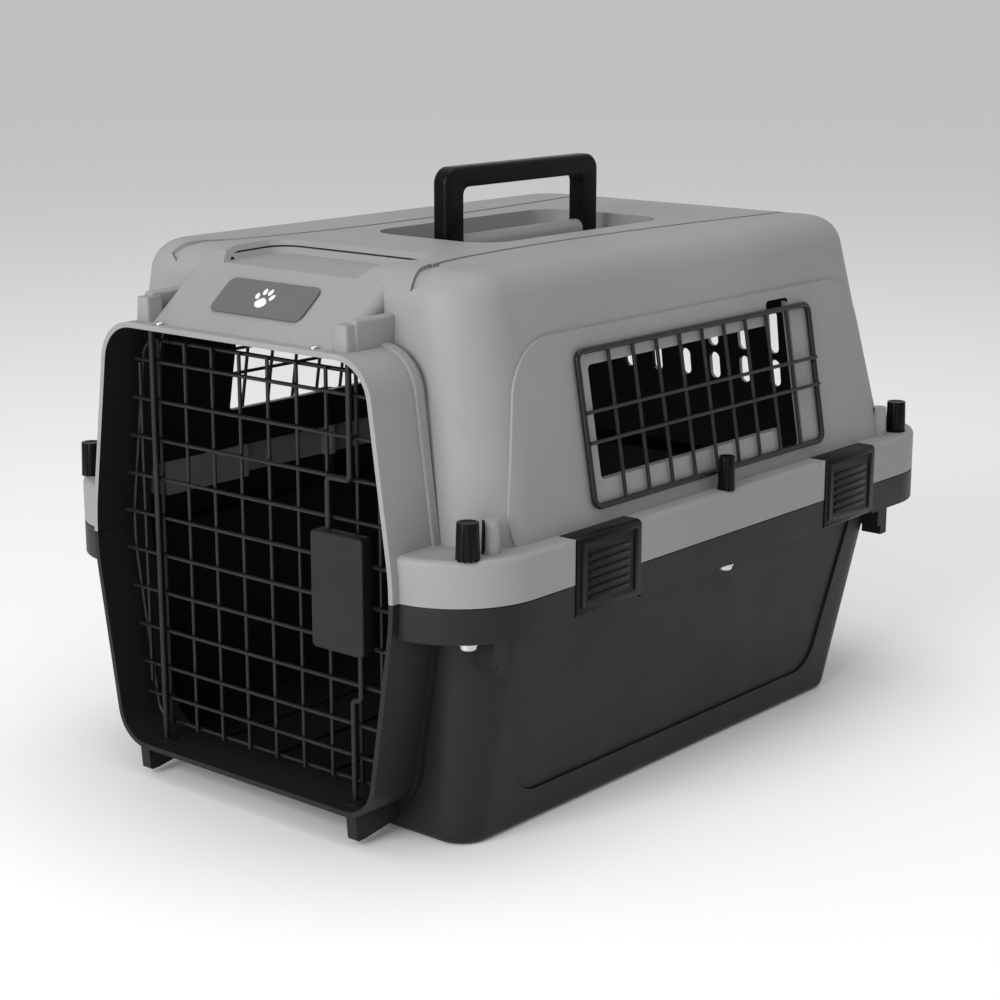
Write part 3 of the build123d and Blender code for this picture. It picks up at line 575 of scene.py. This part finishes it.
class CARRIER_OT_hardware(bpy.types.Operator):
    """Model the rim knobs and finish the bolts, washers and rivets"""

    bl_idname = "carrier.hardware"
    bl_label = "Rim hardware"

    def execute(self, context):
        finish = make_materials(context.scene.carrier_colours)
        sizes = context.scene.carrier_sizes
        for node in NUTS:
            knob = fluted_knob(node, sizes.flutes, sizes.flute_depth)
            settle(knob, node + "_knob", BODY_OF[node], finish["trim"], 30)
            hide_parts(node)
        for node in ("rim_bolts", "rim_washers", "lip_rivets"):
            paint(node, finish["steel"])
        return {"FINISHED"}


class CARRIER_OT_grilles(bpy.types.Operator):
    """Finish the window grilles"""

    bl_idname = "carrier.grilles"
    bl_label = "Window grilles"

    def execute(self, context):
        wire = make_materials(context.scene.carrier_colours)["wire"]
        for node in ("right_window_grille", "left_window_grille"):
            paint(node, wire)
        return {"FINISHED"}


def top_face(node):
    """The frame of a plate's broad upper face: its middle, and axes across, uphill and outward."""
    faces = [face for face in frame["nodes"][node].data.polygons if face.normal.z > 0.2]
    outward = max(faces, key=lambda face: face.area).normal.copy()
    flat = [face for face in faces if face.normal.dot(outward) > 0.999]
    middle = sum((face.center * face.area for face in flat), Vector()) / sum(face.area for face in flat)
    across = Vector((1, 0, 0))
    turned = Matrix((across, outward.cross(across), outward)).transposed()
    return Matrix.Translation(middle) @ turned.to_4x4()


def paw_pad(wide, high, place, turn, pinch, thick):
    """One raised pad of the paw print, lying flat, narrowed towards its top by pinch."""
    bpy.ops.mesh.primitive_circle_add(vertices=28, radius=1, fill_type="NGON")
    pad = bpy.context.object
    edit(pad)
    bpy.ops.mesh.select_all(action="SELECT")
    bpy.ops.transform.resize(value=(wide / 2, high / 2, 1))
    leave()
    mesh = pad.data
    for vertex in mesh.vertices:
        vertex.co.x *= 1 - pinch * max(0.0, vertex.co.y / (high / 2))
    edit(pad, "FACE")
    bpy.ops.mesh.select_all(action="SELECT")
    bpy.ops.mesh.extrude_region_move(TRANSFORM_OT_translate={"value": (0, 0, thick)})
    bpy.ops.mesh.select_all(action="SELECT")
    bpy.ops.mesh.normals_make_consistent(inside=False)
    leave()
    pad.location, pad.rotation_euler.z = (*place, 0), turn
    return pad


def paw_print(size, thick):
    """A plain paw print: one broad pad under four toes."""
    pads = [paw_pad(0.56 * size, 0.46 * size, (0, -0.22 * size), 0, 0.35, thick)]
    for x, y, turn in ((-0.37, 0.07, 24), (-0.14, 0.3, 9), (0.14, 0.3, -9), (0.37, 0.07, -24)):
        pads.append(paw_pad(0.2 * size, 0.31 * size, (x * size, y * size), radians(turn), 0.15, thick))
    only(*pads)
    bpy.ops.object.join()
    pads[0].name = "paw_print"
    bpy.ops.object.transform_apply(location=True, rotation=True, scale=True)
    apply_modifier(
        pads[0], "BEVEL", width=thick / 3, segments=2, limit_method="ANGLE", angle_limit=radians(60))
    return pads[0]


class CARRIER_OT_badge(bpy.types.Operator):
    """Finish the plain badge plate and its paw print"""

    bl_idname = "carrier.badge"
    bl_label = "Badge"

    def execute(self, context):
        finish = make_materials(context.scene.carrier_colours)
        softened("badge_plate", "badge_plaque", BADGE_EDGE, finish["badge"], 25, 2)
        paw = paw_print(context.scene.carrier_sizes.paw, PAW_THICK)
        paw.matrix_world = top_face("badge_plate")
        settle(paw, "badge_paw_print", BODY_OF["badge_plate"], finish["emblem"], 30)
        return {"FINISHED"}


class CARRIER_OT_stage(bpy.types.Operator):
    """Set the camera, the pale floor and the studio lights"""

    bl_idname = "carrier.stage"
    bl_label = "Stage"

    def execute(self, context):
        stage = context.scene.carrier_stage
        self.add_camera(context, stage)
        self.add_floor()
        for name, (size, place) in SOFTBOXES.items():
            self.add_light(name + "_softbox", getattr(stage, name), size, place)
        world = bpy.data.worlds.new("white_surround")
        world.use_nodes = True
        world.node_tree.nodes["Background"].inputs["Color"].default_value = (1, 1, 1, 1)
        world.node_tree.nodes["Background"].inputs["Strength"].default_value = stage.sky
        context.scene.world = world
        context.scene.view_settings.view_transform = "Standard"
        return {"FINISHED"}

    def add_camera(self, context, stage):
        bpy.ops.object.camera_add(location=stage.eye)
        camera = bpy.context.object
        back = Vector((
            sin(stage.turn) * cos(stage.rise), -cos(stage.turn) * cos(stage.rise), sin(stage.rise)))
        camera.rotation_euler = back.to_track_quat("Z", "Y").to_euler()
        camera.data.lens = stage.lens
        camera.name = "studio_camera"
        context.scene.camera = camera

    def add_floor(self):
        bpy.ops.mesh.primitive_plane_add(size=160, location=(0, 0, 0))
        floor = bpy.context.object
        floor.name = "studio_floor"
        floor.data.materials.append(new_material("pale_floor", (0.93, 0.93, 0.93), 0.7))

    def add_light(self, name, power, size, place):
        bpy.ops.object.light_add(type="AREA", location=place)
        lamp = bpy.context.object
        lamp.name = name
        lamp.data.energy = power
        lamp.data.size = size
        towards = Vector(place) - LOOK_AT
        lamp.rotation_euler = towards.to_track_quat("Z", "Y").to_euler()


OPERATORS = (
    CARRIER_OT_shells, CARRIER_OT_door, CARRIER_OT_latch, CARRIER_OT_handle, CARRIER_OT_clips,
    CARRIER_OT_hardware, CARRIER_OT_grilles, CARRIER_OT_badge, CARRIER_OT_stage,
)


class CARRIER_PT_panel(bpy.types.Panel):
    """Lists the carrier's settings and its steps in order"""

    bl_idname = "CARRIER_PT_panel"
    bl_label = "Pet Carrier"
    bl_space_type = "VIEW_3D"
    bl_region_type = "UI"
    bl_category = "Carrier"

    def draw(self, context):
        layout = self.layout
        for name in GROUPS:
            group = getattr(context.scene, name)
            box = layout.box()
            for key in group.__annotations__:
                box.prop(group, key)
        for operator in OPERATORS:
            layout.operator(operator.bl_idname)


GROUPS = {"carrier_sizes": CarrierSizes, "carrier_colours": CarrierColours, "carrier_stage": CarrierStage}
CLASSES = (*GROUPS.values(), *OPERATORS, CARRIER_PT_panel)


def register():
    for cls in CLASSES:
        bpy.utils.register_class(cls)
    for key, group in GROUPS.items():
        setattr(bpy.types.Scene, key, bpy.props.PointerProperty(type=group))


def unregister():
    for key in GROUPS:
        delattr(bpy.types.Scene, key)
    for cls in reversed(CLASSES):
        bpy.utils.unregister_class(cls)


def main():
    register()
    bpy.ops.carrier.shells()
    bpy.ops.carrier.door()
    bpy.ops.carrier.latch()
    bpy.ops.carrier.handle()
    bpy.ops.carrier.clips()
    bpy.ops.carrier.hardware()
    bpy.ops.carrier.grilles()
    bpy.ops.carrier.badge()
    bpy.ops.carrier.stage()


if __name__ == "__main__":
    main()
